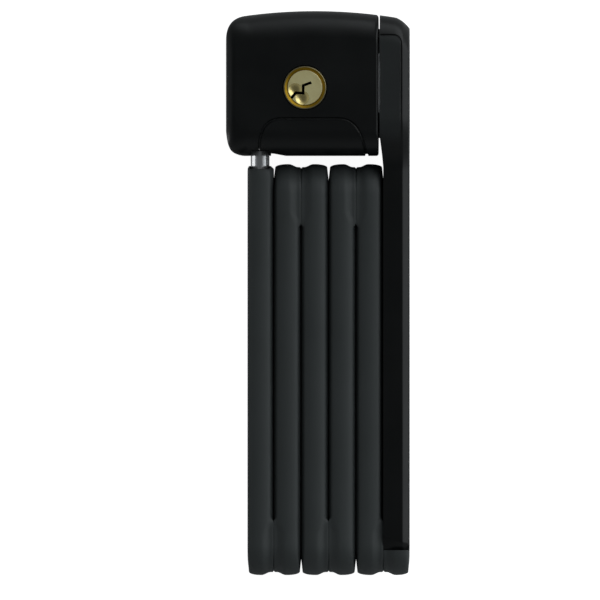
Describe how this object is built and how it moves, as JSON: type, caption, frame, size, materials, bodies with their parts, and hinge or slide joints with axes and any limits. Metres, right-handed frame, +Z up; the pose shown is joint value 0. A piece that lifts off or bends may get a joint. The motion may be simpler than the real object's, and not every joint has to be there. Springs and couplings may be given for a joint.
{
  "type": "folding bike lock",
  "caption": "Folding bicycle lock: a stack of rubber-coated flat steel bars hinged zigzag on an arm, with a keyed lock head that takes a steel locking pin.",
  "frame": {"origin": "on the ground under the middle of the folded lock, which lies on its back", "axes": "+X across the stack of bars towards the arm, +Y along the bars towards the head, +Z up out of the keyhole face"},
  "size_m": [0.0616, 0.19, 0.034],
  "materials": {
    "cover_plastic": "near-black moulded plastic, satin",
    "bar_rubber": "dark grey soft-touch rubber coating",
    "plated_steel": "zinc-plated hardened steel",
    "case_steel": "plain hardened steel, lightly oiled",
    "polished_steel": "polished chromed steel",
    "brass": "turned brass",
    "plug_brass": "matt pale brass face",
    "spring_steel": "bright spring wire"
  },
  "bodies": {
    "arm": {"arm_core": "plated_steel", "arm_cover": "cover_plastic", "arm_end_coating": "bar_rubber", "head_pivot_rivet": "plated_steel", "head_pivot_disc": "plated_steel", "hinge_rivet_5": "plated_steel", "hinge_washer_5": "plated_steel"},
    "head": {"head_front_cover": "cover_plastic", "head_rear_cover": "cover_plastic", "head_panel": "cover_plastic", "lock_case": "case_steel", "pin_bush": "plated_steel", "cylinder_housing": "brass", "chamber_lid": "brass", "latch_spring": "spring_steel", "driver_pin_1": "plated_steel", "driver_pin_2": "plated_steel", "driver_pin_3": "plated_steel", "driver_pin_4": "plated_steel", "driver_pin_5": "plated_steel", "driver_spring_1": "spring_steel", "driver_spring_2": "spring_steel", "driver_spring_3": "spring_steel", "driver_spring_4": "spring_steel", "driver_spring_5": "spring_steel"},
    "plug": {"cylinder_plug": "plug_brass", "plug_clip": "spring_steel", "cam": "plated_steel", "key_pin_1": "brass", "key_pin_2": "brass", "key_pin_3": "brass", "key_pin_4": "brass", "key_pin_5": "brass"},
    "latch": {"latch_bolt": "plated_steel"},
    "bar_5": {"bar_5_core": "plated_steel", "bar_5_coating": "bar_rubber", "hinge_rivet_4": "plated_steel", "hinge_washer_4": "plated_steel"},
    "bar_4": {"bar_4_core": "plated_steel", "bar_4_coating": "bar_rubber", "hinge_rivet_3": "plated_steel", "hinge_washer_3": "plated_steel"},
    "bar_3": {"bar_3_core": "plated_steel", "bar_3_coating": "bar_rubber", "hinge_rivet_2": "plated_steel", "hinge_washer_2": "plated_steel"},
    "bar_2": {"bar_2_core": "plated_steel", "bar_2_coating": "bar_rubber", "hinge_rivet_1": "plated_steel", "hinge_washer_1": "plated_steel"},
    "bar_1": {"bar_1_core": "plated_steel", "bar_1_coating": "bar_rubber", "locking_pin": "polished_steel"}
  },
  "joints": [
    {"name": "head_turn", "type": "hinge", "parent": "arm", "child": "head", "pos_m": [0.02075, 0.07065, 0.017], "axis": [-1, 0, 0], "range_deg": [0, 120]},
    {"name": "bar_5_hinge", "type": "hinge", "parent": "arm", "child": "bar_5", "pos_m": [0.02203, -0.085, 0.017], "axis": [1, 0, 0], "range_deg": [-180, 180]},
    {"name": "bar_4_hinge", "type": "hinge", "parent": "bar_5", "child": "bar_4", "pos_m": [0.01279, 0.0335, 0.017], "axis": [-1, 0, 0], "range_deg": [-180, 180]},
    {"name": "bar_3_hinge", "type": "hinge", "parent": "bar_4", "child": "bar_3", "pos_m": [0.00355, -0.085, 0.017], "axis": [1, 0, 0], "range_deg": [-180, 180]},
    {"name": "bar_2_hinge", "type": "hinge", "parent": "bar_3", "child": "bar_2", "pos_m": [-0.00569, 0.0335, 0.017], "axis": [-1, 0, 0], "range_deg": [-180, 180]},
    {"name": "bar_1_hinge", "type": "hinge", "parent": "bar_2", "child": "bar_1", "pos_m": [-0.01493, -0.085, 0.017], "axis": [1, 0, 0], "range_deg": [-180, 180]},
    {"name": "plug_turn", "type": "hinge", "parent": "head", "child": "plug", "pos_m": [-0.0042, 0.06915, 0.0334], "axis": [0, 0, -1], "range_deg": [0, 90]},
    {"name": "latch_slide", "type": "slide", "parent": "head", "child": "latch", "axis": [1, 0, 0], "range_m": [0, 0.0035], "deforming": ["latch_spring"]}
  ],
  "couplings": [
    {"joint": "bar_4_hinge", "follows": "bar_5_hinge", "ratio": 1},
    {"joint": "bar_2_hinge", "follows": "bar_3_hinge", "ratio": 1},
    {"joint": "latch_slide", "follows": "plug_turn", "m_per_rad": 0.0022281}
  ]
}
